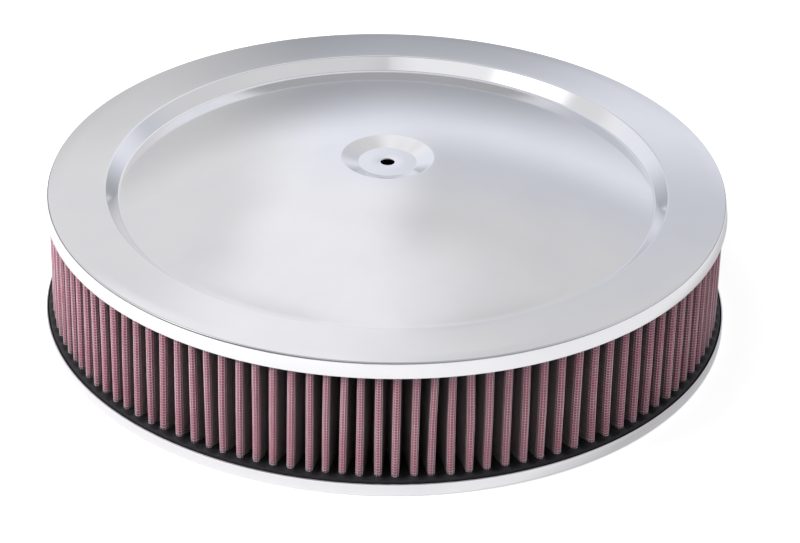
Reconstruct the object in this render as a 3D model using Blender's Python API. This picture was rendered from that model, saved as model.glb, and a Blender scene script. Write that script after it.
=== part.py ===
# Round carburetor air cleaner: a stamped lid and a stamped drop base with a pleated ring filter between them.
# Metres, +Z up. The axis is x = y = 0 and the underside of the base rests on z = 0.
# A profile is a list of (radius, height) points; a corner is (radius, height, bend radius).

import math

import bmesh
import bpy
from mathutils import Matrix, Vector

MM = 0.001

# Facets around a turned piece, steps in a bend of the sheet and steps along the dome
SEGMENTS = 52
BEND_STEPS = 1
RIM_BEND_STEPS = 2
DOME_STEPS = 4

# Clearance between pieces that rest on each other
SEAT_GAP = 0.3 * MM

# Lid
LID_RIM_RADIUS = 177.8 * MM
LID_SHEET = 0.8 * MM
RIM_BEND = 0.8 * MM
SKIRT_DEPTH = 8.1 * MM
SKIRT_FLARE = 1.35 * MM
BAND_RISE = 0.7 * MM
LID_STEP_CLEARANCE = 1.9 * MM
LID_STEP_DEPTH = 6.6 * MM
LID_STEP_WIDTH = 6.7 * MM
LID_STEP_BEND = 1.8 * MM
DOME_APEX = 16.2 * MM
RECESS_RIM_RADIUS = 24.3 * MM
RECESS_FLOOR_RADIUS = 15.4 * MM
RECESS_DEPTH = 3.1 * MM
RECESS_BEND = 2.0 * MM
STUD_HOLE_RADIUS = 4.0 * MM

# Filter element
ELEMENT_HEIGHT = 73.5 * MM
PLEATS = 122
PLEAT_DEPTH = 25.4 * MM
RIDGE_STAND_OUT = 1.0 * MM
FOLD_WIDTH = 3.8 * MM
SCREEN_THICKNESS = 0.3 * MM
MEDIA_THICKNESS = 1.6 * MM
UPPER_SEAL_DEPTH = 8.1 * MM
LOWER_SEAL_DEPTH = 7.4 * MM
UPPER_SEAL_CLEARANCE = 0.4 * MM
LOWER_SEAL_CLEARANCE = 0.5 * MM
SEAL_INNER_COVER = 1.8 * MM
SEAL_EDGE = 1.2 * MM

# Base
LIP_OVERHANG = 3.2 * MM
LIP_HEIGHT = 7.2 * MM
LIP_BEND = 2.0 * MM
BASE_SHEET = 0.9 * MM
BASE_BEND = 2.0 * MM
BASE_STEP_CLEARANCE = 1.0 * MM
BASE_STEP_HEIGHT = 5.0 * MM
BASE_STEP_WIDTH = 3.2 * MM
FLOOR_RISE = 1.2 * MM
CONE_FOOT_RADIUS = 112.0 * MM
CONE_TOP_RADIUS = 97.0 * MM
SHELF_HEIGHT = 31.0 * MM
NECK_RADIUS = 65.1 * MM
NECK_RING_WIDTH = 8.4 * MM
NECK_STEP_WIDTH = 2.6 * MM
NECK_STEP_DEPTH = 7.5 * MM

# Neck gasket
GASKET_THICKNESS = 3.2 * MM
GASKET_INSET = 0.6 * MM
GASKET_CLEARANCE = 1.5 * MM

# Heights and radii that follow from the sizes above
BASE_SEAT = BASE_SHEET + SEAT_GAP
LID_SEAT = BASE_SEAT + ELEMENT_HEIGHT
RIM_HEIGHT = LID_SEAT + SEAT_GAP + LID_SHEET
LIP_RADIUS = LID_RIM_RADIUS + LIP_OVERHANG
UPPER_SEAL_RADIUS = LID_RIM_RADIUS - LID_SHEET - UPPER_SEAL_CLEARANCE
LOWER_SEAL_RADIUS = LIP_RADIUS - BASE_SHEET - LOWER_SEAL_CLEARANCE
OUTER_FOLD_RADIUS = UPPER_SEAL_RADIUS + RIDGE_STAND_OUT
INNER_FOLD_RADIUS = OUTER_FOLD_RADIUS - PLEAT_DEPTH
SEAL_INNER_RADIUS = INNER_FOLD_RADIUS - SEAL_INNER_COVER
LID_STEP_RADIUS = SEAL_INNER_RADIUS - LID_STEP_CLEARANCE - LID_SHEET
BASE_STEP_RADIUS = SEAL_INNER_RADIUS - BASE_STEP_CLEARANCE - BASE_SHEET
SCREEN_GAP = SEAT_GAP
PACK_THICKNESS = MEDIA_THICKNESS + 2 * (SCREEN_THICKNESS + SCREEN_GAP)
PLEAT_BOTTOM = BASE_SEAT + LOWER_SEAL_DEPTH + SEAT_GAP
PLEAT_TOP = LID_SEAT - UPPER_SEAL_DEPTH - SEAT_GAP
NECK_RING_HEIGHT = SHELF_HEIGHT - NECK_STEP_DEPTH

# Finishes: colour, metallic and roughness
FINISHES = {
    "chrome": ((0.78, 0.78, 0.80), 1.0, 0.10),
    "black_urethane": ((0.018, 0.018, 0.020), 0.0, 0.45),
    "oiled_cotton": ((0.27, 0.085, 0.105), 0.0, 0.75),
    "coated_wire": ((0.40, 0.20, 0.22), 0.6, 0.45),
    "foam_rubber": ((0.03, 0.03, 0.03), 0.0, 0.9),
}


def clear_scene():
    for obj in list(bpy.data.objects):
        bpy.data.objects.remove(obj)


def finish(name):
    material = bpy.data.materials.get(name)
    if material:
        return material
    colour, metallic, roughness = FINISHES[name]
    material = bpy.data.materials.new(name)
    material.use_nodes = True
    shader = material.node_tree.nodes["Principled BSDF"]
    shader.inputs["Base Color"].default_value = (*colour, 1.0)
    shader.inputs["Metallic"].default_value = metallic
    shader.inputs["Roughness"].default_value = roughness
    material.diffuse_color = (*colour, 1.0)
    return material


def add_piece(name, bm, material, sharp_degrees):
    # Puts a finished bmesh into the scene as one named, shaded piece.
    bmesh.ops.recalc_face_normals(bm, faces=bm.faces)
    mesh = bpy.data.meshes.new(name)
    bm.to_mesh(mesh)
    bm.free()
    mesh.shade_smooth()
    mesh.set_sharp_from_angle(angle=math.radians(sharp_degrees))
    mesh.materials.append(finish(material))
    piece = bpy.data.objects.new(name, mesh)
    bpy.context.collection.objects.link(piece)
    return piece


def rounded(corners, steps=BEND_STEPS):
    # Turns each corner that has a bend radius into an arc, no longer than half of the shorter wall beside it.
    profile = []
    for index, (radius, height, bend, *own_steps) in enumerate(corners):
        corner = Vector((radius, height))
        if bend == 0 or index in (0, len(corners) - 1):
            profile.append(corner)
            continue
        before = Vector(corners[index - 1][:2]) - corner
        after = Vector(corners[index + 1][:2]) - corner
        half_turn = (math.pi - before.angle(after)) / 2
        cut = min(bend * math.tan(half_turn), before.length / 2, after.length / 2)
        arc_radius = cut / math.tan(half_turn)
        inward = (before.normalized() + after.normalized()).normalized()
        centre = corner + inward * (arc_radius / math.cos(half_turn))
        start = corner + before.normalized() * cut - centre
        turn = start.angle_signed(corner + after.normalized() * cut - centre)
        count = own_steps[0] if own_steps else steps
        for step in range(count + 1):
            profile.append(centre + Matrix.Rotation(-turn * step / count, 2) @ start)
    return profile


def offset(profile, distance):
    # The same profile moved sideways by the distance, to the left of its own direction, with mitred corners.
    moved = []
    last = len(profile) - 1
    for index, point in enumerate(profile):
        before = (point - profile[max(index - 1, 0)]).normalized()
        after = (profile[min(index + 1, last)] - point).normalized()
        along = (before + after).normalized()
        normal = Vector((-along.y, along.x))
        whole = max(before.length, after.length)
        cosine = along.dot(after if after.length else before) / whole
        moved.append(point + normal * (distance / cosine))
    return moved


def turned(name, section, material, sharp_degrees=35):
    # Spins a closed section round the axis.
    bm = bmesh.new()
    ring = [bm.verts.new((point[0], 0.0, point[1])) for point in section]
    edges = [bm.edges.new((ring[i - 1], ring[i])) for i in range(len(ring))]
    bmesh.ops.spin(
        bm,
        geom=ring + edges,
        cent=(0, 0, 0),
        axis=(0, 0, 1),
        angle=2 * math.pi,
        steps=SEGMENTS,
        use_merge=True,
    )
    return add_piece(name, bm, material, sharp_degrees)


def stamped(name, profile, sheet, material):
    # A pressing of even thickness: the profile, and the same profile one sheet to its left.
    return turned(name, profile + offset(profile, sheet)[::-1], material)


def band_underside(radius):
    # Height of the lid's underside over the element, where the band rises gently from the rim to the step.
    share = (LID_RIM_RADIUS - radius) / (LID_RIM_RADIUS - LID_STEP_RADIUS)
    return RIM_HEIGHT - LID_SHEET + BAND_RISE * share


def make_lid():
    # The profile runs along the top face, from the foot of the skirt to the stud hole.
    step_top = RIM_HEIGHT + BAND_RISE
    foot_radius = LID_STEP_RADIUS - LID_STEP_WIDTH
    foot_height = step_top - LID_STEP_DEPTH
    apex = RIM_HEIGHT + DOME_APEX
    sag = apex - foot_height
    dome_radius = (foot_radius**2 + sag**2) / (2 * sag)
    dome = []
    for step in range(DOME_STEPS + 1):
        radius = foot_radius + (RECESS_RIM_RADIUS - foot_radius) * step / DOME_STEPS
        dome.append((radius, apex - dome_radius + math.sqrt(dome_radius**2 - radius**2)))
    floor_height = dome[-1][1] - RECESS_DEPTH
    corners = [
        (LID_RIM_RADIUS + SKIRT_FLARE, RIM_HEIGHT - SKIRT_DEPTH, 0),
        (LID_RIM_RADIUS, RIM_HEIGHT, RIM_BEND, RIM_BEND_STEPS),
        (LID_STEP_RADIUS, step_top, LID_STEP_BEND),
        (*dome[0], LID_STEP_BEND),
        *((radius, height, 0) for radius, height in dome[1:-1]),
        (*dome[-1], RECESS_BEND),
        (RECESS_FLOOR_RADIUS, floor_height, RECESS_BEND),
        (STUD_HOLE_RADIUS, floor_height, 0),
    ]
    return stamped("top_lid", rounded(corners), LID_SHEET, "chrome")


def make_base():
    # The profile runs along the underside, from the neck opening out to the top of the lip.
    step_top = BASE_STEP_RADIUS - BASE_STEP_WIDTH
    ring_edge = NECK_RADIUS + NECK_RING_WIDTH
    corners = [
        (NECK_RADIUS, NECK_RING_HEIGHT, 0),
        (ring_edge, NECK_RING_HEIGHT, 0),
        (ring_edge + NECK_STEP_WIDTH, SHELF_HEIGHT, 0),
        (CONE_TOP_RADIUS, SHELF_HEIGHT, BASE_BEND),
        (CONE_FOOT_RADIUS, BASE_STEP_HEIGHT + FLOOR_RISE, BASE_BEND),
        (step_top, BASE_STEP_HEIGHT, BASE_BEND),
        (BASE_STEP_RADIUS, 0, BASE_BEND),
        (LIP_RADIUS, 0, LIP_BEND, RIM_BEND_STEPS),
        (LIP_RADIUS, LIP_HEIGHT, 0),
    ]
    return stamped("base_pan", rounded(corners), BASE_SHEET, "chrome")


def make_seals():
    # Moulded end rings: the upper one fills the skirt, the lower one fills the lip and stands a little above it.
    upper_foot = LID_SEAT - UPPER_SEAL_DEPTH
    upper_shoulder = UPPER_SEAL_RADIUS - SEAL_EDGE
    upper = [
        (SEAL_INNER_RADIUS, upper_foot),
        (upper_shoulder, upper_foot),
        (UPPER_SEAL_RADIUS, upper_foot + SEAL_EDGE),
        (UPPER_SEAL_RADIUS, band_underside(UPPER_SEAL_RADIUS) - SEAT_GAP - SEAL_EDGE),
        (upper_shoulder, band_underside(upper_shoulder) - SEAT_GAP),
        (SEAL_INNER_RADIUS, band_underside(SEAL_INNER_RADIUS) - SEAT_GAP),
    ]
    lower_top = BASE_SEAT + LOWER_SEAL_DEPTH
    lower = [
        (SEAL_INNER_RADIUS, BASE_SEAT),
        (LOWER_SEAL_RADIUS - LIP_BEND, BASE_SEAT),
        (LOWER_SEAL_RADIUS, BASE_SEAT + LIP_BEND),
        (LOWER_SEAL_RADIUS, lower_top - SEAL_EDGE),
        (LOWER_SEAL_RADIUS - SEAL_EDGE, lower_top),
        (SEAL_INNER_RADIUS, lower_top),
    ]
    turned("upper_seal", upper, "black_urethane")
    turned("lower_seal", lower, "black_urethane")


def make_gasket():
    # A flat ring under the neck, where the base sits on the carburetor.
    top = NECK_RING_HEIGHT - SEAT_GAP
    inner = NECK_RADIUS + GASKET_INSET
    outer = NECK_RADIUS + NECK_RING_WIDTH - GASKET_CLEARANCE
    bottom = top - GASKET_THICKNESS
    section = [(inner, top), (inner, bottom), (outer, bottom), (outer, top)]
    turned("neck_gasket", section, "foam_rubber")


def flank():
    # One wall between an outer fold, centred on the ray at angle 0, and the inner fold half a pitch further.
    # The dirty face leaves the outer fold's corner and the clean face meets the inner fold's corner. The two are
    # parallel, one pack thickness apart. Returns the first corner, the way inwards and the way through the pack.
    outer_corner = Vector((OUTER_FOLD_RADIUS, FOLD_WIDTH / 2))
    to_inner_ray = Matrix.Rotation(math.pi / PLEATS, 2)
    inner_corner = to_inner_ray @ Vector((INNER_FOLD_RADIUS, -FOLD_WIDTH / 2))
    reach = inner_corner - outer_corner
    lean = math.asin(PACK_THICKNESS / reach.length)
    inwards = Matrix.Rotation(-lean, 2) @ reach.normalized()
    through = Vector((-inwards.y, inwards.x))
    return outer_corner, inwards, through


def fold_end(point, direction, flat, side):
    # Where a face that runs along a direction ends at a fold: on the fold's flat, or on the fold's own ray
    # when the pack has closed up to a crease before it gets there. side is +1 or -1, the side it comes from.
    across = point.y + direction.y * (flat - point.x) / direction.x
    if across * side > 0:
        return flat, abs(across)
    return point.x - direction.x * point.y / direction.y, 0.0


def fold_outline(depth):
    # The closed outline of the pleats at a depth below their dirty face, four stations to a pleat.
    corner, inwards, through = flank()
    start = corner + through * depth
    half_pitch = math.pi / PLEATS
    to_outer_ray = Matrix.Rotation(-half_pitch, 2)
    ridge, ridge_half = fold_end(start, inwards, OUTER_FOLD_RADIUS - depth, 1)
    valley_flat = INNER_FOLD_RADIUS + PACK_THICKNESS - depth
    valley, valley_half = fold_end(to_outer_ray @ start, to_outer_ray @ inwards, valley_flat, -1)
    outline = []
    for pleat in range(PLEATS):
        ray = 2 * half_pitch * pleat
        for radius, across, angle in (
            (ridge, -ridge_half, ray),
            (ridge, ridge_half, ray),
            (valley, -valley_half, ray + half_pitch),
            (valley, valley_half, ray + half_pitch),
        ):
            outline.append(Matrix.Rotation(angle, 2) @ Vector((radius, across)))
    return outline


def pleated(name, near, far, material):
    # A folded sheet between two depths of the pack. Stations that fall together at a crease are merged.
    bm = bmesh.new()
    loops = []
    for depth, height in ((near, PLEAT_BOTTOM), (near, PLEAT_TOP), (far, PLEAT_TOP), (far, PLEAT_BOTTOM)):
        loops.append([bm.verts.new((*point, height)) for point in fold_outline(depth)])
    for side in range(4):
        lower, upper = loops[side], loops[(side + 1) % 4]
        for i in range(len(lower)):
            bm.faces.new((lower[i - 1], lower[i], upper[i], upper[i - 1]))
    bmesh.ops.remove_doubles(bm, verts=bm.verts, dist=0.001 * MM)
    return add_piece(name, bm, material, 20)


def make_pack():
    # Cotton between two wire screens, all three folded together.
    media = SCREEN_THICKNESS + SCREEN_GAP
    inner_screen = media + MEDIA_THICKNESS + SCREEN_GAP
    pleated("outer_wire_screen", 0.0, SCREEN_THICKNESS, "coated_wire")
    pleated("cotton_media", media, media + MEDIA_THICKNESS, "oiled_cotton")
    pleated("inner_wire_screen", inner_screen, inner_screen + SCREEN_THICKNESS, "coated_wire")


clear_scene()
make_lid()
make_base()
make_seals()
make_gasket()
make_pack()
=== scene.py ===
import math

import bpy
import numpy as np
from mathutils import Matrix, Vector


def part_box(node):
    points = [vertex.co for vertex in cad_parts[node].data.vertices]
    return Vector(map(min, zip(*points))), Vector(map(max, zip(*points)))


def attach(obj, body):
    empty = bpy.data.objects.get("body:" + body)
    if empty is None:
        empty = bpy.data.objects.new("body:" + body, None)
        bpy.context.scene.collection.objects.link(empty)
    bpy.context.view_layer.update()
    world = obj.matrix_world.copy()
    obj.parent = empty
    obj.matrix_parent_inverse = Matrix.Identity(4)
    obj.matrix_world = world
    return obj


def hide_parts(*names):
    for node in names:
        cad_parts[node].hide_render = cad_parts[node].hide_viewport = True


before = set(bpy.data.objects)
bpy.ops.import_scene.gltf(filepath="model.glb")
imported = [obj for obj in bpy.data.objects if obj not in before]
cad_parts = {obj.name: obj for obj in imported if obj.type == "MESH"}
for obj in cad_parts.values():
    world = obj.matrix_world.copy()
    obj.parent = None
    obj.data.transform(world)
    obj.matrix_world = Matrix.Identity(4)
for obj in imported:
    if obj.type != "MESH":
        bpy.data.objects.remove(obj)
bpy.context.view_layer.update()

mm = 0.001
degree = math.pi / 180
print("frame loaded:", ", ".join(sorted(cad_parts)))

_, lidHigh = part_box("top_lid")
_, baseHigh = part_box("base_pan")
upperSealLow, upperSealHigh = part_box("upper_seal")
lowerSealLow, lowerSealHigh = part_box("lower_seal")
packLow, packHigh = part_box("outer_wire_screen")
gasketLow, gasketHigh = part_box("neck_gasket")


# Node trees written as expressions

class Term:
    # A socket in a node tree. Sums, products and powers of terms become Math nodes.
    def __init__(self, tree, socket):
        self.tree, self.socket = tree, socket

    def math(self, operation, *values):
        node = self.tree.nodes.new("ShaderNodeMath")
        node.operation = operation
        for socket, value in zip(node.inputs, values):
            feed(self.tree, socket, value)
        return Term(self.tree, node.outputs[0])

    def __add__(self, other): return self.math("ADD", self, other)
    def __radd__(self, other): return self.math("ADD", other, self)
    def __sub__(self, other): return self.math("SUBTRACT", self, other)
    def __rsub__(self, other): return self.math("SUBTRACT", other, self)
    def __mul__(self, other): return self.math("MULTIPLY", self, other)
    def __rmul__(self, other): return self.math("MULTIPLY", other, self)
    def __truediv__(self, other): return self.math("DIVIDE", self, other)
    def __pow__(self, other): return self.math("POWER", self, other)
    def larger(self, other): return self.math("MAXIMUM", self, other)
    def sine(self): return self.math("SINE", self)
    def size(self): return self.math("ABSOLUTE", self)
    def held(self): return self.math("MINIMUM", self.math("MAXIMUM", self, 0.0), 1.0)  # kept between 0 and 1
    def towards(self, other, share): return self + (other - self) * share  # a share of the way to the other
    def patches(self, start, gain): return ((self - start) * gain).held()  # 0 up to the start, then up to 1


def feed(tree, socket, value):
    # Links a term to a socket, or sets the socket when the value is a plain number or colour.
    if isinstance(value, Term):
        tree.links.new(value.socket, socket)
    elif hasattr(value, "__len__") and socket.type == "RGBA":
        socket.default_value = (*value, 1.0)
    else:
        socket.default_value = value


class Recipe:
    # The node tree of one material or world, and the nodes asked for by type.
    def __init__(self, owner):
        owner.use_nodes = True
        self.owner, self.tree = owner, owner.node_tree

    def node(self, kind, settings=None, inputs=None, output=0):
        node = self.tree.nodes.new(kind)
        for key, value in (settings or {}).items():
            setattr(node, key, value)
        for key, value in (inputs or {}).items():
            feed(self.tree, node.inputs[key], value)
        return Term(self.tree, node.outputs[output])

    def place(self):
        return self.node("ShaderNodeTexCoord", output="Object")

    def parts(self, vector):
        node = self.tree.nodes.new("ShaderNodeSeparateXYZ")
        feed(self.tree, node.inputs[0], vector)
        return [Term(self.tree, socket) for socket in node.outputs]

    def noise(self, vector, scale, detail=2.0, roughness=0.5):
        inputs = {"Vector": vector, "Scale": scale, "Detail": detail, "Roughness": roughness}
        return self.node("ShaderNodeTexNoise", inputs=inputs)

    def ramp(self, value, low, high):
        # 0 below low, 1 above high and a smooth rise between them.
        settings = {"interpolation_type": "SMOOTHSTEP"}
        return self.node("ShaderNodeMapRange", settings, {"Value": value, "From Min": low, "From Max": high})

    def fall(self, value, low, high):
        return 1.0 - self.ramp(value, low, high)

    def between(self, first, second, share):
        # From one number to another by a term.
        return share * (second - first) + first

    def axisDistance(self, place):
        x, y, _ = self.parts(place)
        return (x * x + y * y) ** 0.5

    def blend(self, factor, first, second):
        return self.node("ShaderNodeMix", {"data_type": "RGBA"}, {0: factor, 6: first, 7: second}, output=2)

    def bump(self, height, distance, strength=1.0):
        return self.node("ShaderNodeBump", inputs={"Height": height, "Distance": distance, "Strength": strength})

    def finish(self, sockets):
        shader = self.tree.nodes["Principled BSDF"]
        for key, value in sockets.items():
            feed(self.tree, shader.inputs[key], value)
        return self.owner

    def surface(self, shader):
        last = next(node for node in self.tree.nodes if node.type.startswith("OUTPUT"))
        feed(self.tree, last.inputs["Surface"], shader)
        return self.owner


# Meshes from whole arrays

def addPiece(name, points, faces, material, uv=None):
    # A smooth mesh object at the origin. points is (n, 3), faces is a list of index arrays, each with one number of
    # corners to a face, and uv is a pair for each corner of each face.
    mesh = bpy.data.meshes.new(name)
    sizes = np.concatenate([np.full(len(group), group.shape[1]) for group in faces])
    corners = np.concatenate([group.reshape(-1) for group in faces])
    starts = np.concatenate([[0], np.cumsum(sizes)[:-1]])
    mesh.vertices.add(len(points))
    mesh.vertices.foreach_set("co", points.astype(np.float32).reshape(-1))
    mesh.loops.add(len(corners))
    mesh.loops.foreach_set("vertex_index", corners.astype(np.int32))
    mesh.polygons.add(len(sizes))
    mesh.polygons.foreach_set("loop_start", starts.astype(np.int32))
    mesh.update(calc_edges=True)
    mesh.shade_smooth()
    if uv is not None:
        layer = mesh.uv_layers.new(name="UVMap")
        layer.data.foreach_set("uv", uv.astype(np.float32).reshape(-1))
    mesh.materials.append(material)
    piece = bpy.data.objects.new(name, mesh)
    bpy.context.scene.collection.objects.link(piece)
    print(f"made {name}: {sum(len(group) * (group.shape[1] - 2) for group in faces)} triangles")
    return piece


def gridFaces(rows, columns, wrapRows=True, wrapColumns=True):
    # Quads between the points of a rows x columns grid. Seen with columns to the right and rows upwards they are
    # counter-clockwise.
    r = np.arange(rows if wrapRows else rows - 1)[:, None]
    c = np.arange(columns if wrapColumns else columns - 1)[None, :]
    nextRow, nextColumn = (r + 1) % rows, (c + 1) % columns
    quads = [r * columns + c, r * columns + nextColumn, nextRow * columns + nextColumn, nextRow * columns + c]
    return np.stack(quads, axis=-1).reshape(-1, 4)


def bentLine(corners, spacing, bendSteps=8):
    # A line through (radius, height, bend radius) corners. Each bend is an arc tangent to both its walls, and the
    # straight stretches are divided to about the spacing.
    points = []
    spots = [np.array(corner[:2]) for corner in corners]
    for index, spot in enumerate(spots):
        bend = corners[index][2]
        if bend == 0:
            points.append(spot[None])
            continue
        before, after = spots[index - 1] - spot, spots[index + 1] - spot
        before, after = before / np.linalg.norm(before), after / np.linalg.norm(after)
        halfTurn = (math.pi - math.acos(np.clip(before @ after, -1, 1))) / 2
        middle = (before + after) / np.linalg.norm(before + after)
        side = before - (before @ middle) * middle
        side /= np.linalg.norm(side)
        centre = spot + middle * bend / math.cos(halfTurn)
        turn = np.linspace(halfTurn, -halfTurn, bendSteps + 1)[:, None]
        points.append(centre + bend * (np.sin(turn) * side - np.cos(turn) * middle))
    line = np.concatenate(points)
    counts = np.maximum(np.round(np.linalg.norm(np.diff(line, axis=0), axis=1) / spacing).astype(int), 1)
    knots = np.concatenate([[0], np.cumsum(counts)])
    share = np.interp(np.arange(knots[-1] + 1), knots, np.arange(len(line)))
    at = np.arange(len(line))
    return np.stack([np.interp(share, at, line[:, 0]), np.interp(share, at, line[:, 1])], axis=1)


def sheetSection(line, thickness, edgeSteps=4):
    # The closed section of a pressing, with the metal on the left of its line: the line, a round cut edge, the
    # line moved one thickness to its left, and a round cut edge.
    along = np.gradient(line, axis=0)
    along /= np.linalg.norm(along, axis=1)[:, None]
    left = np.stack([-along[:, 1], along[:, 0]], axis=1)
    half = thickness / 2
    turn = np.linspace(0, math.pi, edgeSteps + 2)[1:-1, None]
    end = line[-1] + left[-1] * half * (1 - np.cos(turn)) + along[-1] * half * np.sin(turn)
    start = line[0] + left[0] * half * (1 + np.cos(turn)) - along[0] * half * np.sin(turn)
    return np.concatenate([line, end, (line + left * thickness)[::-1], start])


def turnedPiece(name, section, steps, material, rise=None):
    # Carries a closed section, with its body on the left, round the axis. rise(radius, angle) is added to its
    # heights.
    angle = np.arange(steps)[:, None] * (2 * math.pi / steps)
    radius, height = section[None, :, 0], section[None, :, 1]
    lifted = height + 0 * angle + (rise(radius, angle) if rise else 0)
    points = np.stack([radius * np.cos(angle), radius * np.sin(angle), lifted], axis=-1)
    return addPiece(name, points.reshape(-1, 3), [gridFaces(steps, len(section))[:, ::-1]], material)


def dress(piece, slotName, *nodes):
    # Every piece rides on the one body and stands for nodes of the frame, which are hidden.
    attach(piece, "root")
    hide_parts(*nodes)


# Finishes

# The scale of a noise is given in waves to the metre. Where a noise makes patches, a pair holds the level at which
# they begin and how fast they fill.

chromeLook = {
    "colour": (0.87, 0.87, 0.885),
    "clouded": (0.83, 0.83, 0.85),
    "clouds": (0.4, 2.5),     # patches of duller plating
    "cloudScale": 22.0,
    "smudgeScale": 90.0,
    "roughness": 0.06,
    "haze": 0.05,             # how much rougher it is in the patches
    "smear": 0.02,            # and in smudges
    "peel": 0.0012 * mm,      # depth of the orange peel
    "peelScale": 700.0,
    "lidRings": 1.1 * mm,     # distances between polishing rings
    "baseRings": 1.4 * mm,
    "ringShare": 0.4,         # of the rings in the relief
}
cottonLook = {
    "thread": (0.42, 0.13, 0.19),
    "oiled": (0.20, 0.050, 0.080),
    "foldShade": (0.085, 0.060, 0.065),  # painted shade down between the folds
    "pitch": 1.1 * mm,                # distance between threads
    "stray": 1.5,                     # how far a thread strays, in radians of its pitch
    "strayScales": (300.0, 260.0),
    "fuzzScale": 2600.0,
    "fuzzShare": 0.3,                 # of the fuzz in the relief
    "oilScale": 45.0,
    "wetting": (0.9, 0.45),           # by the runs of oil and by the gaps between threads
    "shed": 0.2,                      # how much less wet it is all over
    "roughness": 0.85,
    "wetGloss": 0.3,                  # how much less rough it is where wet
    "sheen": 0.25,
    "relief": 0.22 * mm,
    "strength": 0.8,                  # of the relief
}
wireLook = {
    "bare": (0.95, 0.80, 0.85),
    "oiled": (0.82, 0.47, 0.56),
    # painted shade down between the folds, as on the cotton
    "foldShade": (0.16, 0.12, 0.125),
    "endHighlight": (0.93, 0.91, 0.92),       # painted highlight that makes both ends of the folds paler
    "highlightUp": 5.0 * mm,               # how far the painted highlight reaches from the bottom
    "highlightDown": 4.0 * mm,             # and from the top
    "highlightLevel": 0.6,                      # how strong the painted highlight is where clean
    "highlightGrime": 0.6,                 # and how much more so where grimy
    "oil": (0.32, 2.2),               # patches
    "oilScale": 70.0,
    "grimeScale": 1500.0,
    "metallic": 0.35,
    "oilDulls": 0.2,                  # how much less metallic the oil makes it
    "roughness": 0.38,
    "grimeDulls": 0.2,                # how much rougher the grime makes it
    "relief": 0.03 * mm,
}
foldShadeRadii = (173.2 * mm, 177.0 * mm)    # radii between which the folds darken with painted shade
urethaneLook = {
    "colour": (0.018, 0.018, 0.020),
    "dusty": (0.045, 0.045, 0.048),
    "dust": (0.52, 1.2),              # patches
    "mottleScale": 160.0,
    "grainScale": 1400.0,
    "pinholeScale": 420.0,
    "pinholeSides": 7.0,              # how steep they are
    "roughness": 0.36,
    "mottleDulls": 0.22,              # how much rougher the mottle makes it
    "specular": 0.3,
    "shares": (0.5, 0.3, 0.4),        # of the mottle, the grain and the pinholes in the relief
    "relief": 0.15 * mm,
    "strength": 0.7,
}
foamLook = {
    "colour": (0.024, 0.024, 0.025),
    # painted shade at the bottoms of the pores
    "poreShade": (0.008, 0.008, 0.008),
    "pore": 0.9 * mm,
    "poreSides": 1.6,
    "roughness": 0.9,
    "relief": 0.3 * mm,
}


def chromeFinish(name, ringPitch):
    # Plated steel: cloudy roughness, orange peel and a trace of the polishing rings under the plate.
    r = Recipe(bpy.data.materials.new(name))
    place = r.place()
    radius = r.axisDistance(place)
    cloud = r.noise(place, chromeLook["cloudScale"], 4.0, 0.6)
    smudge = r.noise(place, chromeLook["smudgeScale"], 3.0, 0.55)
    rings = r.noise(r.node("ShaderNodeCombineXYZ", inputs={"X": radius / ringPitch}), 1.0, 3.0, 0.7)
    peel = r.noise(place, chromeLook["peelScale"], 2.0)
    clouded = cloud.patches(*chromeLook["clouds"])
    relief = peel * (1 - chromeLook["ringShare"]) + rings * chromeLook["ringShare"]
    return r.finish({
        "Base Color": r.blend(clouded, chromeLook["colour"], chromeLook["clouded"]),
        "Metallic": 1.0,
        "Roughness": chromeLook["roughness"] + clouded * chromeLook["haze"] + smudge * chromeLook["smear"],
        "Normal": r.bump(relief, chromeLook["peel"]),
    })


def foldShade(r, place):
    # The share of painted shade: 0 on the ridges and 1 down in the folds.
    return r.fall(r.axisDistance(place), *foldShadeRadii)


def cottonFinish():
    # Gauze: two sets of threads on the piece's own UV, which is in metres, red oil that has run, and painted shade
    # down in the folds.
    r = Recipe(bpy.data.materials.new("oiledCotton"))
    u, v, _ = r.parts(r.node("ShaderNodeUVMap"))
    place = r.place()
    turns = 2 * math.pi / cottonLook["pitch"]
    warpScale, weftScale = cottonLook["strayScales"]
    warp = (u * turns + r.noise(place, warpScale) * cottonLook["stray"]).sine()
    weft = (v * turns + r.noise(place, weftScale) * cottonLook["stray"]).sine()
    threads = warp.larger(weft) * 0.5 + 0.5
    fuzz = r.noise(place, cottonLook["fuzzScale"], 3.0, 0.6)
    oil = r.noise(place, cottonLook["oilScale"], 4.0, 0.6)
    byOil, byGaps = cottonLook["wetting"]
    wet = (oil * byOil + (1.0 - threads) * byGaps - cottonLook["shed"]).held()
    open = r.blend(wet, cottonLook["thread"], cottonLook["oiled"])
    relief = threads * (1 - cottonLook["fuzzShare"]) + fuzz * cottonLook["fuzzShare"]
    return r.finish({
        # painted shade darkens the cloth down in the folds
        "Base Color": r.blend(foldShade(r, place), open, cottonLook["foldShade"]),
        "Roughness": cottonLook["roughness"] - wet * cottonLook["wetGloss"],
        "Sheen Weight": cottonLook["sheen"],
        "Normal": r.bump(relief, cottonLook["relief"], cottonLook["strength"]),
    })


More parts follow.
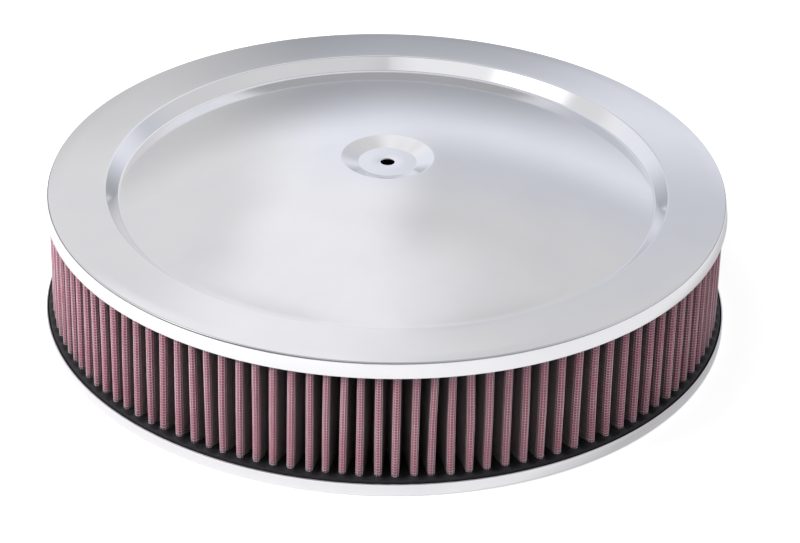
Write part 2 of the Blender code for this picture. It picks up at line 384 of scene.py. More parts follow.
def wireFinish():
    # Fine aluminium wire, wetted by the red oil in patches, paler at both ends of the folds by a painted highlight
    # and darkened down in the folds by painted shade.
    r = Recipe(bpy.data.materials.new("oiledWire"))
    place = r.place()
    oil = r.noise(place, wireLook["oilScale"], 3.0, 0.6).patches(*wireLook["oil"])
    grime = r.noise(place, wireLook["grimeScale"])
    _, _, z = r.parts(place)
    bottom = r.fall(z, packLow.z, packLow.z + wireLook["highlightUp"])
    ends = bottom + r.ramp(z, packHigh.z - wireLook["highlightDown"], packHigh.z)
    highlightLevel = grime * wireLook["highlightGrime"] + wireLook["highlightLevel"]
    open = r.blend(oil, wireLook["bare"], wireLook["oiled"])
    # Painted highlight: the wire is paler at both ends of the folds.
    highlighted = r.blend((ends * highlightLevel).held(), open, wireLook["endHighlight"])
    return r.finish({
        # painted shade darkens the wire down in the folds
        "Base Color": r.blend(foldShade(r, place), highlighted, wireLook["foldShade"]),
        "Metallic": wireLook["metallic"] - oil * wireLook["oilDulls"],
        "Roughness": wireLook["roughness"] + grime * wireLook["grimeDulls"],
        "Normal": r.bump(grime, wireLook["relief"]),
    })


def urethaneFinish():
    # Poured urethane: a smooth skin with a soft mottle, pinholes and a little dust.
    r = Recipe(bpy.data.materials.new("blackUrethane"))
    place = r.place()
    mottle = r.noise(place, urethaneLook["mottleScale"], 4.0, 0.6)
    grain = r.noise(place, urethaneLook["grainScale"])
    nearest = r.node("ShaderNodeTexVoronoi", inputs={"Vector": place, "Scale": urethaneLook["pinholeScale"]})
    skin = (nearest * urethaneLook["pinholeSides"]).held()  # 0 at the bottom of a pinhole
    dust = mottle.patches(*urethaneLook["dust"])
    mottleShare, grainShare, skinShare = urethaneLook["shares"]
    relief = mottle * mottleShare + grain * grainShare + skin * skinShare
    return r.finish({
        "Base Color": r.blend(dust, urethaneLook["colour"], urethaneLook["dusty"]),
        "Roughness": urethaneLook["roughness"] + mottle * urethaneLook["mottleDulls"],
        "Specular IOR Level": urethaneLook["specular"],
        "Normal": r.bump(relief, urethaneLook["relief"], urethaneLook["strength"]),
    })


def foamFinish():
    # Closed-cell foam: a crowd of small pores, with painted shade down in them.
    r = Recipe(bpy.data.materials.new("foamRubber"))
    nearest = r.node("ShaderNodeTexVoronoi", inputs={"Vector": r.place(), "Scale": 1 / foamLook["pore"]})
    walls = (nearest * foamLook["poreSides"]).held()
    return r.finish({
        "Base Color": r.blend(walls, foamLook["poreShade"], foamLook["colour"]),
        "Roughness": foamLook["roughness"],
        "Normal": r.bump(walls, foamLook["relief"]),
    })


chromeLid = chromeFinish("chromeLid", chromeLook["lidRings"])
chromeBase = chromeFinish("chromeBase", chromeLook["baseRings"])
oiledCotton = cottonFinish()
oiledWire = wireFinish()
blackUrethane = urethaneFinish()
foamRubber = foamFinish()
print("finishes ready")


# Lid

lid = {
    "rimRadius": 178.0 * mm,
    "rimHeight": 75.8 * mm,
    "sheet": 0.8 * mm,
    "rimBend": 1.2 * mm,
    "skirtDepth": 8.1 * mm,
    "bandRise": 0.7 * mm,
    "crownInset": 7.0 * mm,      # how far in from the rim the band has its crown
    "crownRise": 0.45 * mm,
    "crownBend": 60.0 * mm,
    "stepRadius": 147.7 * mm,
    "stepWidth": 6.7 * mm,
    "stepDepth": 6.6 * mm,
    "stepTopBend": 1.5 * mm,
    "stepFootBend": 1.5 * mm,
    "domeApex": 16.18 * mm,
    "domePoints": 25,
    "recessRadius": 24.3 * mm,
    "recessFloor": 15.4 * mm,
    "recessDepth": 3.1 * mm,
    "recessBend": 2.4 * mm,
    "hole": 4.0 * mm,
    "sealGap": 0.3 * mm,         # between the lid and the upper seal
    "wave": 0.03 * mm,           # how far the pressing is out of true
    "waveTurns": (2, 3, 5, 7, 9),
    "waveSeed": 3,
    "spacing": 6.0 * mm,
    "steps": 432,
}


def lidLine():
    # The top face from the skirt's foot to the hole. The dome is an arc of one circle centred on the axis.
    rim = lid["rimHeight"]
    foot = lid["stepRadius"] - lid["stepWidth"]
    footHeight = rim + lid["bandRise"] - lid["stepDepth"]
    apex = rim + lid["domeApex"]
    sag = apex - footHeight
    domeCurve = (foot**2 + sag**2) / (2 * sag)
    radius = np.linspace(foot, lid["recessRadius"], lid["domePoints"])
    height = apex - domeCurve + np.sqrt(domeCurve**2 - radius**2)
    floor = height[-1] - lid["recessDepth"]
    corners = [
        (lidHigh.x, rim - lid["skirtDepth"], 0),
        (lid["rimRadius"], rim, lid["rimBend"]),
        (lid["rimRadius"] - lid["crownInset"], rim + lid["crownRise"], lid["crownBend"]),
        (lid["stepRadius"], rim + lid["bandRise"], lid["stepTopBend"]),
        (radius[0], height[0], lid["stepFootBend"]),
        *((r, h, 0) for r, h in zip(radius[1:-1], height[1:-1])),
        (radius[-1], height[-1], lid["recessBend"]),
        (lid["recessFloor"], floor, lid["recessBend"]),
        (lid["hole"], floor, 0),
    ]
    return bentLine(corners, lid["spacing"])


wavePhases = np.random.default_rng(lid["waveSeed"]).uniform(0, 2 * math.pi, len(lid["waveTurns"]))


def lidWave(radius, angle):
    # A slow wander of the sheet: a few cosines of the angle, growing with the square of the radius.
    wander = sum(np.cos(turns * angle + phase) / turns for turns, phase in zip(lid["waveTurns"], wavePhases))
    return lid["wave"] * wander * (radius / lid["rimRadius"]) ** 2


def makeLid():
    section = sheetSection(lidLine(), lid["sheet"])
    dress(turnedPiece("lidShell", section, lid["steps"], chromeLid, lidWave), "chrome_lid", "top_lid")


# Base

base = {
    "sheet": 0.9 * mm,
    "lipHeight": 7.2 * mm,
    "lipBend": 2.0 * mm,
    "stepRadius": 148.5 * mm,
    "stepWidth": 3.2 * mm,
    "stepHeight": 5.0 * mm,
    "floorRise": 1.2 * mm,
    "coneFoot": 112.0 * mm,
    "coneTop": 97.0 * mm,
    "shelf": 31.0 * mm,
    "neckRadius": 65.1 * mm,
    "neckRing": 8.4 * mm,
    "neckStepWidth": 2.6 * mm,
    "neckStepDepth": 7.5 * mm,
    "neckBends": (1.2 * mm, 1.6 * mm),
    "bend": 2.4 * mm,
    "spacing": 8.0 * mm,
    "steps": 432,
}


def baseLine():
    # The underside from the neck out to the top of the lip.
    ring = base["shelf"] - base["neckStepDepth"]
    ringEdge = base["neckRadius"] + base["neckRing"]
    corners = [
        (base["neckRadius"], ring, 0),
        (ringEdge, ring, base["neckBends"][0]),
        (ringEdge + base["neckStepWidth"], base["shelf"], base["neckBends"][1]),
        (base["coneTop"], base["shelf"], base["bend"]),
        (base["coneFoot"], base["stepHeight"] + base["floorRise"], base["bend"]),
        (base["stepRadius"] - base["stepWidth"], base["stepHeight"], base["bend"]),
        (base["stepRadius"], 0, base["bend"]),
        (baseHigh.x, 0, base["lipBend"]),
        (baseHigh.x, base["lipHeight"], 0),
    ]
    return bentLine(corners, base["spacing"])


def makeBase():
    section = sheetSection(baseLine(), base["sheet"])
    dress(turnedPiece("baseShell", section, base["steps"], chromeBase), "chrome_base", "base_pan")


# Pleated pack

pack = {
    "pleats": 122,
    "innerRadius": 152.2 * mm,
    "cloth": 1.3 * mm,             # thickness of the cotton
    "bend": 1.0 * mm,              # radius of a fold at the middle of the cloth
    "wire": 0.28 * mm,             # diameter
    "weft": 1.55 * mm,             # distance between the wires that run round, in the outer screen
    "warp": 1.45 * mm,             # distance between its upright wires
    "sunkWeft": 0.08 * mm,         # how far its weft lies behind its warp
    "innerWeft": 2.2 * mm,
    "innerWarp": 2.6 * mm,
    "potted": 0.4 * mm,            # how far the pleats run into the seals
    "wander": 0.14 * degree,       # how far a fold strays from its even place
    "lean": 0.08 * degree,
    "bow": 0.07 * degree,
    "turn": -0.9 * degree,         # where the first fold stands
    # Stretches of folds that crowd or spread: turns round the pack, degrees and phase of each slow cosine
    "drift": ((2, 1.00, 0.68), (3, 0.62, 0.56), (5, 0.46, 2.97)),
    "sunk": 0.35 * mm,             # how far the shyest ridge lies behind the proudest
    "seed": 14,
    # Steps along half a ridge, a flank and half a valley
    "clothSteps": (4, 3, 2),
    "warpSteps": (6, 8, 6),
    "weftSteps": (3, 1, 1),
    "innerWeftSteps": (1, 1, 2),
    "clothRows": 10,               # points up the cloth and up an upright wire
    "warpRows": 3,
}
rng = np.random.default_rng(pack["seed"])
pitch = 2 * math.pi / pack["pleats"]
wireDepth = (pack["cloth"] + pack["wire"]) / 2             # middle of a wire from the middle of the cloth
faceDepth = wireDepth + pack["wire"] / 2
ridgeCentre = packHigh.x - faceDepth - pack["bend"]        # radius at which the outer folds have their centres
valleyCentre = pack["innerRadius"] + faceDepth + pack["bend"]
ridgeSpot = np.array([ridgeCentre, 0.0])
valleySpot = valleyCentre * np.array([math.cos(pitch / 2), math.sin(pitch / 2)])
reach = ridgeSpot - valleySpot
flankTurn = math.atan2(reach[1], reach[0]) + math.acos(-2 * pack["bend"] / np.linalg.norm(reach))
flankAcross = np.array([math.cos(flankTurn), math.sin(flankTurn)])  # square to a flank, on its outer side
strays = np.array([pack["wander"], pack["lean"], pack["bow"]])
ridgeStrays = rng.normal(0, 1, (3, pack["pleats"])) * strays[:, None]
valleyStrays = rng.normal(0, 1, (3, pack["pleats"])) * strays[:, None]
ridgeSinks = rng.uniform(0, pack["sunk"], pack["pleats"])


def placed(angle, radius, height):
    # Where a point of the even pack really lies. It is turned by its folds' own strays, which change with height
    # as wander + lean * along + bow * (1 - along^2) and are shared between ridge and valley by radius, and by the
    # slow cosines of the drift. Its ridge's sink draws it in.
    angle, radius, height = np.broadcast_arrays(angle, radius, height)
    share = np.clip((radius - valleyCentre) / (ridgeCentre - valleyCentre), 0, 1)
    along = (2 * height - packLow.z - packHigh.z) / (packHigh.z - packLow.z)
    folds = np.arange(pack["pleats"]) * pitch

    def spread(first, row):
        return np.interp(angle, folds + first, row, period=2 * math.pi)

    weights = (1, along, 1 - along**2)
    ridges = sum(weight * spread(0, row) for weight, row in zip(weights, ridgeStrays))
    valleys = sum(weight * spread(pitch / 2, row) for weight, row in zip(weights, valleyStrays))
    drift = sum(depth * degree * np.cos(turns * angle + phase) for turns, depth, phase in pack["drift"])
    turned = angle + share * ridges + (1 - share) * valleys + pack["turn"] + drift
    drawn = radius - share * spread(0, ridgeSinks)
    return np.stack([drawn * np.cos(turned), drawn * np.sin(turned), height], axis=-1)


def pleatLine(offset, ridgeSteps, flankSteps, valleySteps):
    # Angles and radii of one closed line through all the folds, offset outwards from the middle of the cloth. Half
    # a pleat is an arc round the ridge's centre, a straight flank and an arc round the valley's centre.
    ridgeTurn = np.linspace(0, flankTurn, ridgeSteps + 1)
    valleyTurn = np.linspace(flankTurn, pitch / 2, valleySteps + 1)
    ridge = ridgeSpot + (pack["bend"] + offset) * np.stack([np.cos(ridgeTurn), np.sin(ridgeTurn)], axis=1)
    valley = valleySpot - (pack["bend"] - offset) * np.stack([np.cos(valleyTurn), np.sin(valleyTurn)], axis=1)
    share = np.linspace(0, 1, flankSteps + 1)[1:-1, None]
    half = np.concatenate([ridge, ridge[-1] + share * (valley[0] - ridge[-1]), valley])
    radius, angle = np.hypot(half[:, 0], half[:, 1]), np.arctan2(half[:, 1], half[:, 0])
    angle = np.concatenate([angle, pitch - angle[-2:0:-1]])
    radius = np.concatenate([radius, radius[-2:0:-1]])
    turns = np.arange(pack["pleats"])[:, None] * pitch
    return (turns + angle).reshape(-1), np.tile(radius, pack["pleats"])


def evenLine(offset, spacing):
    # The same line, with points at even steps along it.
    angle, radius = pleatLine(offset, *pack["warpSteps"])
    count = len(angle) // pack["pleats"] + 1
    x, y = (radius * np.cos(angle))[:count], (radius * np.sin(angle))[:count]
    run = np.concatenate([[0], np.cumsum(np.hypot(np.diff(x), np.diff(y)))])
    wires = round(run[-1] / spacing)
    at = (np.arange(wires) + 0.5) * run[-1] / wires
    x, y = np.interp(at, run, x), np.interp(at, run, y)
    turns = np.arange(pack["pleats"])[:, None] * pitch
    return (turns + np.arctan2(y, x)).reshape(-1), np.tile(np.hypot(x, y), pack["pleats"])


def outwards(rings):
    # Square to a closed line of points, level and away from the axis where the line runs round it.
    along = np.roll(rings, -1, axis=-2) - np.roll(rings, 1, axis=-2)
    across = np.stack([along[..., 1], -along[..., 0], 0 * along[..., 0]], axis=-1)
    return across / np.linalg.norm(across, axis=-1, keepdims=True)


def makeWires(name, paths, across, closed):
    # Three-sided wires along (wires, stations, 3) paths. Each corner is the path's point plus the wire's radius
    # times cos(turn) of the way across and sin(turn) of the way square to that and to the path.
    sides = 3
    wires, stations = paths.shape[:2]
    if closed:
        along = np.roll(paths, -1, axis=1) - np.roll(paths, 1, axis=1)
    else:
        along = np.gradient(paths, axis=1)
    along = along / np.linalg.norm(along, axis=-1, keepdims=True)
    beyond = np.cross(along, across)
    turn = (np.arange(sides) * 2 * math.pi / sides)[:, None]
    ring = np.cos(turn) * across[:, :, None] + np.sin(turn) * beyond[:, :, None]
    points = paths[:, :, None] + pack["wire"] / 2 * ring
    starts = (np.arange(wires) * stations * sides)[:, None, None]
    faces = [(gridFaces(stations, sides, closed, True)[None] + starts).reshape(-1, 4)]
    if not closed:
        first, cap = starts.reshape(-1, 1), np.arange(sides)[None]
        faces.append(first + cap[:, ::-1])
        faces.append(first + (stations - 1) * sides + cap)
    return addPiece(name, points.reshape(-1, 3), faces, oiledWire)


def makeWeft(name, offset, heights, steps, node):
    angle, radius = pleatLine(offset, *steps)
    paths = placed(angle[None], radius[None], heights[:, None])
    dress(makeWires(name, paths, outwards(paths), True), "wire_screen", node)


def makeWarp(name, offset, spacing, node):
    angle, radius = evenLine(offset, spacing)
    heights = np.linspace(packLow.z - pack["potted"], packHigh.z + pack["potted"], pack["warpRows"])
    rings = placed(angle[None], radius[None], heights[:, None])
    across = outwards(rings)
    piece = makeWires(name, rings.transpose(1, 0, 2), across.transpose(1, 0, 2), False)
    dress(piece, "wire_screen", node)


def rowHeights(spacing):
    count = math.floor((packHigh.z - packLow.z) / spacing)
    start = (packLow.z + packHigh.z - (count - 1) * spacing) / 2
    return start + np.arange(count) * spacing


def makeScreens():
    outer, inner = "outer_wire_screen", "inner_wire_screen"
    heights = rowHeights(pack["weft"])
    half = len(heights) // 2
    weftOffset = wireDepth - pack["sunkWeft"]
    makeWeft("outerWeftLower", weftOffset, heights[:half], pack["weftSteps"], outer)
    makeWeft("outerWeftUpper", weftOffset, heights[half:], pack["weftSteps"], outer)
    makeWarp("outerWarp", wireDepth, pack["warp"], outer)
    makeWeft("innerWeft", -wireDepth, rowHeights(pack["innerWeft"]), pack["innerWeftSteps"], inner)
    makeWarp("innerWarp", -wireDepth, pack["innerWarp"], inner)


def makeCotton():
    # The outer face from bottom to top, then the inner face from top to bottom, each on the same stations.
    rows, steps = pack["clothRows"], pack["clothSteps"]
    heights = np.linspace(packLow.z - pack["potted"], packHigh.z + pack["potted"], rows)
    outer, inner = pleatLine(pack["cloth"] / 2, *steps), pleatLine(-pack["cloth"] / 2, *steps)
    stations = len(outer[0])
    angle, radius = (np.repeat([a, b], rows, axis=0) for a, b in zip(outer, inner))
    height = np.concatenate([heights, heights[::-1]])[:, None]
    points = placed(angle, radius, height)
    faces = gridFaces(2 * rows, stations)
    middle = placed(*pleatLine(0.0, *steps), 0.0)
    lengths = np.linalg.norm(np.roll(middle, -1, axis=0) - middle, axis=1)
    run = np.cumsum(lengths) - lengths
    uv = np.stack(np.broadcast_arrays(run[None], height), axis=-1).reshape(-1, 2)[faces]
    uv[stations - 1::stations, 1:3, 0] += lengths.sum()  # the last column ends one round further on
    dress(addPiece("pleatedCotton", points.reshape(-1, 3), [faces], oiledCotton, uv), "cotton", "cotton_media")


# Seals

seal = {
    "innerRadius": 150.4 * mm,
    "shoulder": 1.2 * mm,
    "climb": 1.2 * mm,          # how high the urethane climbs the pleats
    "climbReach": 0.8 * mm,     # how far away from them it does so
    "ripple": 0.10 * mm,
    "rippleWaves": 6,
    "rippleRates": (60, 900),   # of a wave with the angle and with the radius
    "lipBend": 2.0 * mm,
    "fineFrom": 169.0 * mm,     # the face has closer rings outside this radius
    "fine": 0.75 * mm,
    "coarse": 2.5 * mm,
    "spacing": 8.0 * mm,
    "bendSteps": 5,
    "anglesPerPleat": 14,
}


def pleatDistance(angle, radius):
    # Distance to the faces of the even pack, from the ridge's circle, the valley's circle or the flank's line,
    # whichever the point lies beside, with the pack's half thickness taken off.
    folded = np.abs((angle + pitch / 2) % pitch - pitch / 2)
    spot = np.stack([radius * np.cos(folded), radius * np.sin(folded)], axis=-1)
    along = np.array([-flankAcross[1], flankAcross[0]])
    passed = (spot - ridgeSpot) @ along
    beside = (spot - ridgeSpot) @ flankAcross - pack["bend"]
    ridge = np.linalg.norm(spot - ridgeSpot, axis=-1) - pack["bend"]
    valley = pack["bend"] - np.linalg.norm(spot - valleySpot, axis=-1)
    nearest = np.where(passed < 0, ridge, np.where(passed > (valleySpot - ridgeSpot) @ along, valley, beside))
    return np.maximum(np.abs(nearest) - faceDepth, 0)


def sealSection(outer, depth, backBend):
    # The ring's closed section, lifted from its back at 0 to its face at its depth. The face's own straight stretch
    # is drawn again with closer rings where it shows.
    shoulder, inner, slack = seal["shoulder"], seal["innerRadius"], 1e-6 * mm
    middle = (inner + outer) / 2
    outside = [(middle, 0, 0), (outer, 0, backBend), (outer, depth, shoulder), (middle, depth, 0)]
    inside = [(middle, depth, 0), (inner, depth, shoulder), (inner, 0, shoulder), (middle, 0, 0)]
    outside, inside = (bentLine(corners, seal["spacing"], seal["bendSteps"]) for corners in (outside, inside))
    fine = np.arange(outer - shoulder, seal["fineFrom"], -seal["fine"])[1:]
    coarse = np.arange(seal["fineFrom"], inner + shoulder, -seal["coarse"])
    rings = np.concatenate([fine, coarse])
    top = np.stack([rings, np.full(len(rings), depth)], axis=1)
    outside = outside[(outside[:, 1] < depth - slack) | (outside[:, 0] > outer - shoulder - slack)]
    inside = inside[(inside[:, 1] < depth - slack) | (inside[:, 0] < inner + shoulder + slack)][:-1]
    return np.concatenate([outside, top, inside])


def makeSeal(name, outer, back, face, backBend, node):
    # A moulded ring between its back, where it seats, and its face, where it holds the pleats. The face is raised
    # by climb * exp(-distance to the pleats / climbReach) and by a few cosines of angle and radius for the pour.
    depth, shoulder = abs(face - back), seal["shoulder"]
    side = math.copysign(1, face - back)
    section = sealSection(outer, depth, backBend)
    if side < 0:
        section = section[::-1]
    steps = pack["pleats"] * seal["anglesPerPleat"]
    angle = np.arange(steps)[:, None] * (2 * math.pi / steps)
    radius, lift = section[None, :, 0] + 0 * angle, section[None, :, 1] + 0 * angle
    onFace = np.clip((lift - depth + shoulder) / shoulder, 0, 1)
    climbed = seal["climb"] * np.exp(-pleatDistance(angle, radius) / seal["climbReach"])
    waves = rng.normal(0, 1, (seal["rippleWaves"], 2)) * seal["rippleRates"]
    pour = sum(
        np.cos(np.round(turns) * angle + rate * radius + index)
        for index, (turns, rate) in enumerate(waves)
    )
    lift = lift + onFace * (climbed + seal["ripple"] * pour / (seal["rippleWaves"] / 2))
    points = placed(angle, radius, back + side * lift)
    # The pleats sink, but the ring doesn't.
    points[..., :2] *= (radius / np.hypot(points[..., 0], points[..., 1]))[..., None]
    piece = addPiece(name, points.reshape(-1, 3), [gridFaces(steps, len(section))[:, ::-1]], blackUrethane)
    dress(piece, "urethane_seal", node)


def makeSeals():
    lidSeat = lid["rimHeight"] - lid["sheet"] - lid["sealGap"]
    makeSeal("upperSealRing", upperSealHigh.x, lidSeat, upperSealLow.z, seal["shoulder"], "upper_seal")
    makeSeal("lowerSealRing", lowerSealHigh.x, lowerSealLow.z, lowerSealHigh.z, seal["lipBend"], "lower_seal")


# Gasket

gasket = {"innerRadius": 65.7 * mm, "edge": 0.8 * mm, "spacing": 1.2 * mm, "bendSteps": 4, "steps": 240}


def makeGasket():
    middle = (gasket["innerRadius"] + gasketHigh.x) / 2
    edge = gasket["edge"]
    corners = [
        (middle, gasketLow.z, 0),
        (gasketHigh.x, gasketLow.z, edge),
        (gasketHigh.x, gasketHigh.z, edge),
        (gasket["innerRadius"], gasketHigh.z, edge),
        (gasket["innerRadius"], gasketLow.z, edge),
        (middle, gasketLow.z, 0),
    ]
    section = bentLine(corners, gasket["spacing"], gasket["bendSteps"])[:-1]
    dress(turnedPiece("foamRing", section, gasket["steps"], foamRubber), "foam_gasket", "neck_gasket")


makeLid()
makeBase()
makeCotton()
makeScreens()
makeSeals()
makeGasket()


# Studio

photoCamera = {
    "distance": 1.59435,
    "elevation": 0.5034,      # all angles in radians
    "roll": 0.0217,
    "pan": 0.0048,
    "tilt": -0.0292,
    "lens": 136.24,           # in millimetres, as the sensor's width is
    "sensor": 36,
    "aimHeight": 75.5 * mm,
}
# Below, a name such as left, panel or edge holds a level of light, and a pair holds the two ends of a soft edge,
# unless the note beside it says otherwise.
studio = {
    "floor": 0.80,
    "floorReach": 3.0,
    "shownFloor": 0.85,           # its colour to the camera and the chrome, which also see it glow by itself
    "glow": (0.66, 0.19),         # levels to the camera and to the chrome
    "left": 0.79,                 # of the tent's wall and of the back card
    "right": 0.69,
    "panel": 0.96,                # a tall bright panel a little left of the middle
    "plain": (0.985, 0.985, 1.0),
    "cool": (0.90, 0.92, 1.0),
    "keyPlace": (-1.02, -0.46, 0.95),
    "keySize": 0.45,
    "keyPower": 13.0,
}
tent = {
    # By azimuth
    "rightFrom": (-6 * degree, 3 * degree),
    "panelFrom": (7 * degree, 16 * degree),
    "panelLean": 45 * degree,     # how far to the left the panel's first edge leans, at the top of the tent
    "panelTo": (-4 * degree, 6 * degree),
    "overLeft": 0.95,             # overhead
    "overRight": 0.72,
    "overRightFrom": (-5 * degree, 28 * degree),
    # By the parts of a direction
    "overFrom": (0.69, 0.85),
    "gap": 0.46,                  # a dark gap overhead, from left to right
    "gapForward": 0.03,           # how far its middle lies in front
    "gapCurve": 0.65,             # how fast its two arms turn backwards
    "gapHalf": (0.22, 0.42),
    "gapEnds": (0.4, 0.65),
    "gapFrom": (0.5, 0.6),
    "groundFrom": (0.03, 0.05),   # below the horizon, where it is white
    "halo": 0.8,                  # a bright spot high on the left
    "haloTowards": (-0.645, -0.123, 0.752),
    "haloEdge": (0.96, 0.995),
    # What lights the object is weaker than what the chrome shows
    "lean": 0.33,                 # how much weaker from the right than from above
    "dim": 0.18,                  # how much weaker all round
}
backCard = {
    "place": 0.192,               # distance behind the axis
    "reach": 0.30,
    "low": 0.03,
    "high": 0.34,
    "sideFade": 0.06,
    "topFade": 0.08,
    "rightFrom": (-0.05, 0.05),
    "strip": 0.90,                # a bright strip low on the right
    "stripFrom": (-0.09, -0.02),
    "stripTop": (0.055, 0.125),
    "panelFrom": (-0.107, -0.022),
    "panelTo": (-0.036, 0.044),
    "panelLeans": (0.3, 0.06),    # how fast its left edge goes left and its right edge goes right as it rises
    "edge": 0.43,                 # the dark end of the table along the foot
    "edgeTop": (-0.004, 0.076),
    "edgeDrop": 0.12,             # how fast its top drops to the right
    "edgeClimb": 0.08,            # how fast its top climbs to both sides
    "edgeEnds": (0.05, 0.17),
    "edgeSkew": 0.1,              # how much further it reaches at the right
    "edgeFade": 0.55,             # the share of it that is lost at its ends
    "coolFrom": (-0.12, -0.02),
    "coolTop": (0.10, 0.24),
}
frontCard = {
    "radius": 0.60,
    "opening": 35 * degree,       # half of the gap left open behind the object
    "height": 0.95,
    "left": 0.20,
    "right": 0.45,
    "top": (0.17, 0.27),          # at the sides
    "frontRise": 0.62,            # how much higher its top is in front
    "frontFrom": (0.3, 0.75),     # shares of the radius
    "steps": 64,
}


def makeCamera():
    # Looks at the axis from the front, then pans, tilts and rolls as the photograph's frame does.
    e, roll = photoCamera["elevation"], photoCamera["roll"]
    ahead, right = Vector((0, math.cos(e), -math.sin(e))), Vector((1, 0, 0))
    up = right.cross(ahead)
    forward = (ahead + math.tan(photoCamera["pan"]) * right + math.tan(photoCamera["tilt"]) * up).normalized()
    right = forward.cross(Vector((0, 0, 1))).normalized()
    up = right.cross(forward)
    right, up = math.cos(roll) * right + math.sin(roll) * up, math.cos(roll) * up - math.sin(roll) * right
    place = -photoCamera["distance"] * ahead + Vector((0, 0, photoCamera["aimHeight"]))
    data = bpy.data.cameras.new("photoCamera")
    data.lens, data.sensor_width = photoCamera["lens"], photoCamera["sensor"]
    camera = bpy.data.objects.new("photoCamera", data)
    camera.matrix_world = Matrix.Translation(place) @ Matrix((right, up, -forward)).transposed().to_4x4()
    bpy.context.scene.collection.objects.link(camera)
    bpy.context.scene.camera = camera


def seenWhite(r):
    # 1 for what the camera sees straight or in metal and glass, 0 for what lights the object.
    kinds = ("Is Camera Ray", "Is Glossy Ray", "Is Transmission Ray")
    camera, glossy, transmission = (r.node("ShaderNodeLightPath", output=kind) for kind in kinds)
    return (camera + glossy + transmission).held()


def makeFloor():
    r = Recipe(bpy.data.materials.new("paleFloor"))
    toCamera, toChrome = studio["glow"]
    glow = r.node("ShaderNodeLightPath", output="Is Camera Ray") * (toCamera - toChrome) + toChrome
    plain = r.node("ShaderNodeBsdfDiffuse", inputs={"Color": (studio["floor"],) * 3})
    lit = r.node("ShaderNodeBsdfDiffuse", inputs={"Color": (studio["shownFloor"],) * 3})
    glowing = r.node("ShaderNodeEmission", inputs={"Color": (1, 1, 1), "Strength": glow})
    shown = r.node("ShaderNodeAddShader", inputs={0: lit, 1: glowing})
    material = r.surface(r.node("ShaderNodeMixShader", inputs={0: seenWhite(r), 1: plain, 2: shown}))
    reach = studio["floorReach"]
    corners = np.array([[-reach, -reach, 0], [reach, -reach, 0], [reach, reach, 0], [-reach, reach, 0]])
    addPiece("studioFloor", corners, [np.array([[0, 1, 2, 3]])], material)


def makeWorld():
    # A soft tent by direction. Azimuth is 0 behind the object and grows to the right. The camera sees plain white.
    world = bpy.data.worlds.new("studioTent")
    r = Recipe(world)
    x, y, z = r.parts(r.node("ShaderNodeTexCoord", output="Generated"))
    azimuth = x.math("ARCTAN2", x, y)
    level = r.between(studio["left"], studio["right"], r.ramp(azimuth, *tent["rightFrom"]))
    panel = r.ramp(azimuth + z * tent["panelLean"], *tent["panelFrom"]) * r.fall(azimuth, *tent["panelTo"])
    level = level.towards(studio["panel"], panel)
    over = r.between(tent["overLeft"], tent["overRight"], r.ramp(azimuth, *tent["overRightFrom"]))
    level = level.towards(over, r.ramp(z, *tent["overFrom"]))
    away = x.size()
    aside = (y + tent["gapForward"] - away * tent["gapCurve"]).size()
    gap = r.fall(aside, *tent["gapHalf"]) * r.fall(away, *tent["gapEnds"]) * r.ramp(z, *tent["gapFrom"])
    level = level.towards(tent["gap"], gap)
    level = level.towards(1.0, r.ramp(z * -1.0, *tent["groundFrom"]))
    ahead = sum(part * share for part, share in zip((x, y, z), tent["haloTowards"]))
    level = level + r.ramp(ahead, *tent["haloEdge"]) * tent["halo"]
    diffuse = r.node("ShaderNodeLightPath", output="Is Diffuse Ray")
    level = level * (1.0 - diffuse * (x * tent["lean"] + tent["dim"]))
    light = r.node("ShaderNodeBackground", inputs={"Color": studio["plain"], "Strength": level})
    white = r.node("ShaderNodeBackground", inputs={"Color": (1, 1, 1), "Strength": 1.0})
    camera = r.node("ShaderNodeLightPath", output="Is Camera Ray")
    r.surface(r.node("ShaderNodeMixShader", inputs={0: camera, 1: light, 2: white}))
    bpy.context.scene.world = world


def cardFinish(name, look):
    # Glows where it is solid and lets everything through elsewhere. look gives how solid it is, its level and its
    # tint, from the recipe and the parts of its place.
    r = Recipe(bpy.data.materials.new(name))
    solid, level, tint = look(r, *r.parts(r.place()))
    clear = r.node("ShaderNodeBsdfTransparent")
    glow = r.node("ShaderNodeEmission", inputs={"Color": tint, "Strength": level})
    return r.surface(r.node("ShaderNodeMixShader", inputs={0: solid, 1: clear, 2: glow}))


def hang(card):
    # Only the chrome sees a card.
    card.visible_camera = card.visible_diffuse = card.visible_shadow = card.visible_transmission = False


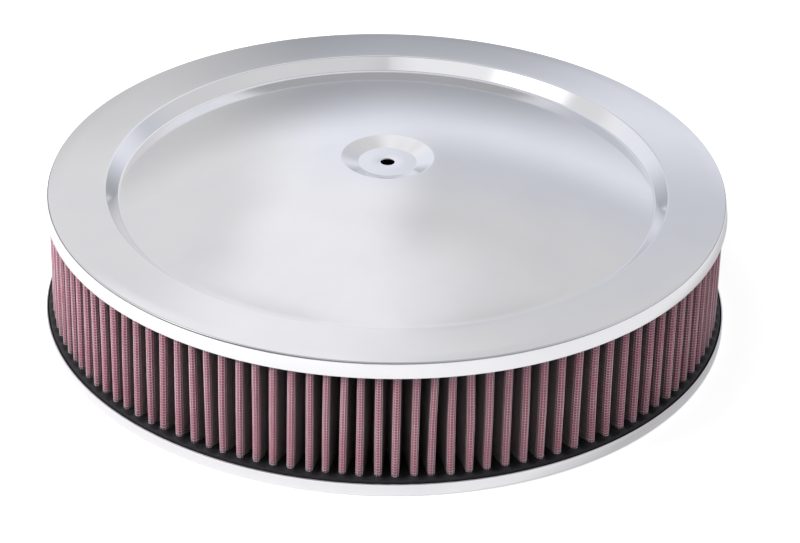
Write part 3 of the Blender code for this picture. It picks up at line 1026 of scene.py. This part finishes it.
def makeBackCard():
    # A wall close behind the object, which fades out upwards and at its ends. Heights on it are taken from the rim.
    # The panel spreads as it goes up, and the dark edge climbs higher at the left.
    card = backCard
    reach, low, high, place = card["reach"], card["low"], card["high"], card["place"]

    def look(r, x, y, z):
        rise, away = z - lid["rimHeight"], x.size()
        level = r.between(studio["left"], studio["right"], r.ramp(x, *card["rightFrom"]))
        strip = r.ramp(x, *card["stripFrom"]) * r.fall(rise, *card["stripTop"])
        level = level.towards(card["strip"], strip)
        leftLean, rightLean = card["panelLeans"]
        panel = r.ramp(x + rise * leftLean, *card["panelFrom"]) * r.fall(x - rise * rightLean, *card["panelTo"])
        level = level.towards(studio["panel"], panel)
        above = rise + x * card["edgeDrop"] - away * card["edgeClimb"]
        ends = r.ramp(away - x * card["edgeSkew"], *card["edgeEnds"])
        edge = r.fall(above, *card["edgeTop"]) * (1.0 - ends * card["edgeFade"])
        level = level.towards(card["edge"], edge)
        cool = r.ramp(x, *card["coolFrom"]) * r.fall(rise, *card["coolTop"])
        solid = r.fall(away, reach - card["sideFade"], reach) * r.fall(z, high - card["topFade"], high)
        return solid, level, r.blend(cool, studio["plain"], studio["cool"])
    corners = np.array([[-reach, place, low], [reach, place, low], [reach, place, high], [-reach, place, high]])
    hang(addPiece("backCard", corners, [np.array([[0, 1, 2, 3]])], cardFinish("backCard", look)))


def makeFrontCard():
    # A dark ring round the front and the sides, low at the sides and high in front.
    card = frontCard
    radius, opening, left, right = card["radius"], card["opening"], card["left"], card["right"]

    def look(r, x, y, z):
        inFront = r.ramp(y * (-1 / radius), *card["frontFrom"])
        level = x * ((right - left) / 2 / radius) + (left + right) / 2
        return r.fall(z - inFront * card["frontRise"], *card["top"]), level, studio["cool"]
    angle = np.linspace(math.pi / 2 + opening, 2.5 * math.pi - opening, card["steps"] + 1)
    around = np.stack([radius * np.cos(angle), radius * np.sin(angle), 0 * angle], axis=1)
    points = np.concatenate([around, around + (0, 0, card["height"])])
    faces = gridFaces(2, len(angle), False, False)
    hang(addPiece("frontCard", points, [faces], cardFinish("frontCard", look)))


def makeKey():
    data = bpy.data.lights.new("softKey", "AREA")
    data.size, data.energy = studio["keySize"], studio["keyPower"]
    key = bpy.data.objects.new("softKey", data)
    key.visible_glossy = False
    place = Vector(studio["keyPlace"])
    key.matrix_world = Matrix.Translation(place) @ (-place).to_track_quat("-Z", "Y").to_matrix().to_4x4()
    bpy.context.scene.collection.objects.link(key)


makeCamera()
makeFloor()
makeWorld()
makeBackCard()
makeFrontCard()
makeKey()
bpy.context.scene.view_settings.view_transform = "Standard"
print("studio ready")
